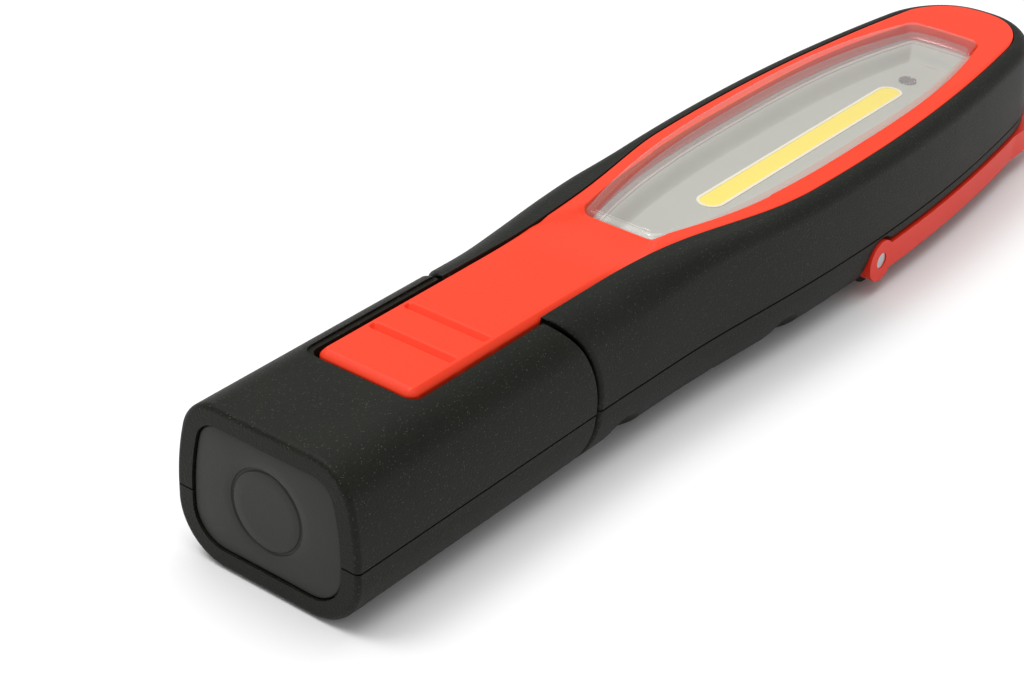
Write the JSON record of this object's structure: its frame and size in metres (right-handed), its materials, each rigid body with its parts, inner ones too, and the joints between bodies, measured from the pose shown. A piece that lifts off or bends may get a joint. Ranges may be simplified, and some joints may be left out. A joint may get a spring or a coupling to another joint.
{
  "type": "work light",
  "caption": "Rechargeable stick work light: slim handle with a tilting magnetic base, raised clear lens over a long light strip, red front panel and a fold-out hanging bail",
  "frame": {"origin": "middle of the bounding box in plan, on the flat rear face that the lamp lies on", "axes": "+X runs from the magnetic end along the handle to the tip, +Y to the side with the charging port, +Z out of the lens"},
  "size_m": [0.2364, 0.0454, 0.0308],
  "materials": {
    "black_plastic": "fine-textured moulded black",
    "pad_plastic": "satin charcoal",
    "magnet": "plated magnet",
    "zinc_steel": "zinc-plated steel",
    "spring_steel": "spring steel",
    "arm_plastic": "glass-filled black",
    "body_plastic": "fine-speckled charcoal black",
    "red_plastic": "satin warm red",
    "clear_lens": "clear moulded polycarbonate",
    "soft_rubber": "soft black rubber",
    "grey_plastic": "matt light grey",
    "board_aluminium": "white-lacquered aluminium board",
    "white_silicone": "white silicone border",
    "yellow_phosphor": "yellow phosphor coating",
    "bare_aluminium": "extruded aluminium",
    "cell_wrap": "shrink-wrapped cell",
    "foam": "closed-cell foam",
    "nickel": "nickel",
    "red_wire": "silicone wire sleeve",
    "white_wire": "silicone wire sleeve",
    "green_board": "solder-masked board",
    "component_black": "moulded components",
    "switch_plastic": "switch body",
    "bail_red": "satin warm red"
  },
  "bodies": {
    "lamp": {"hinge_arm": "arm_plastic", "front_shell": "body_plastic", "rear_shell": "body_plastic", "front_panel": "red_plastic", "shell_screws": "zinc_steel", "lens": "clear_lens", "lens_seal": "soft_rubber", "reflector_tray": "grey_plastic", "strip_board_plate": "board_aluminium", "strip_border": "white_silicone", "strip_phosphor": "yellow_phosphor", "heat_spreader": "bare_aluminium", "spreader_screw": "zinc_steel", "battery_cell": "cell_wrap", "cell_end_pads": "foam", "cell_tabs": "nickel", "cell_leads": "red_wire", "strip_leads": "white_wire", "charge_lead": "white_wire", "control_board": "green_board", "board_parts": "component_black", "board_screws": "zinc_steel", "push_switch": "switch_plastic", "charge_port": "body_plastic", "charging_socket": "nickel", "charge_board": "green_board", "bail_pins": "zinc_steel"},
    "base": {"base_front_shell": "black_plastic", "base_rear_shell": "black_plastic", "magnet_pad": "pad_plastic", "base_magnet": "magnet", "magnet_keeper": "zinc_steel", "hinge_pin": "zinc_steel", "friction_washers": "spring_steel", "base_screws": "zinc_steel"},
    "button": {"power_button": "red_plastic"},
    "flap": {"port_flap": "soft_rubber"},
    "bail": {"bail": "bail_red"}
  },
  "joints": [
    {"name": "base_tilt", "type": "hinge", "parent": "lamp", "child": "base", "pos_m": [-0.07905, 0, 0.01485], "axis": [0, -1, 0], "range_deg": [0, 85]},
    {"name": "bail_swing", "type": "hinge", "parent": "lamp", "child": "bail", "pos_m": [0.02775, 0, 0.0069], "axis": [0, 1, 0], "range_deg": [0, 105]},
    {"name": "button_press", "type": "slide", "parent": "lamp", "child": "button", "axis": [0, 0, 1], "range_m": [0, 0.0006], "stiffness_N_per_m": 2500, "springref_m": -0.0003},
    {"name": "flap_open", "type": "hinge", "parent": "lamp", "child": "flap", "pos_m": [-0.04325, 0.01765, 0.0214], "axis": [1, 0, 0], "range_deg": [0, 110]}
  ]
}
